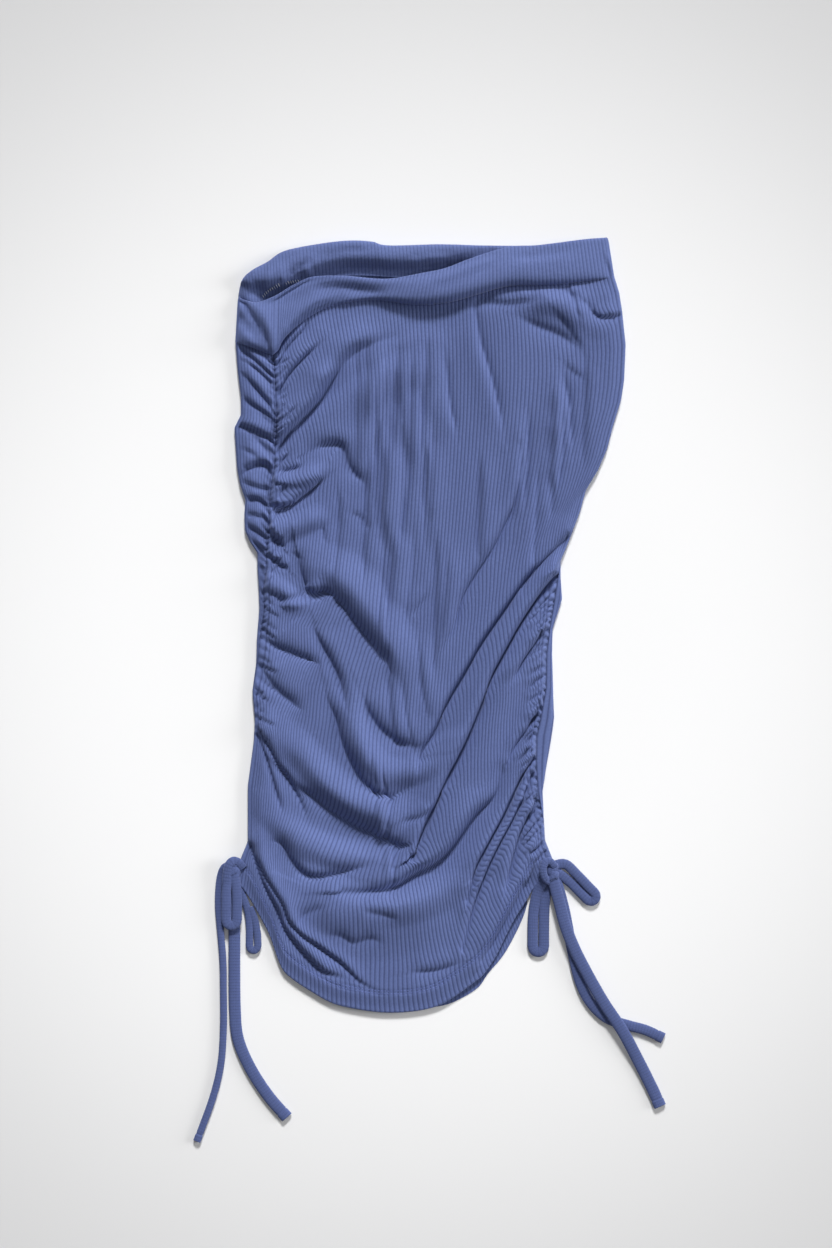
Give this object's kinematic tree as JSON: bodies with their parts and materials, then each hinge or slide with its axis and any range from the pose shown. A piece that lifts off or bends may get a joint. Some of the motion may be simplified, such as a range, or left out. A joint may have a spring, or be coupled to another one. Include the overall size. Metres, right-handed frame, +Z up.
{
  "type": "skirt",
  "caption": "Rib-knit midi skirt laid flat, ruched along both side seams by drawstrings that end in a bow at each end of the curved hem, under a soft turned waistband.",
  "frame": {"origin": "centre of the laid skirt's outline, ties' free ends left out, on the surface it lies on", "axes": "+Y towards the waist, +X to the viewer's right with the front up, +Z up out of the surface"},
  "size_m": [0.4341, 0.8319, 0.0096],
  "materials": {
    "panel_cloth": "matt fine rib jersey",
    "band_cloth": "matt fine rib jersey",
    "tie_cloth": "matt fine rib jersey"
  },
  "bodies": {
    "root": {"front_panel": "panel_cloth", "back_panel": "panel_cloth", "waistband": "band_cloth", "left_knot": "tie_cloth", "right_knot": "tie_cloth", "left_loop_front": "tie_cloth", "left_loop_back": "tie_cloth", "right_loop_down": "tie_cloth", "right_loop_side": "tie_cloth", "left_tail_outer": "tie_cloth", "left_tail_inner": "tie_cloth", "right_tail_over": "tie_cloth", "right_tail_under": "tie_cloth"}
  },
  "joints": []
}
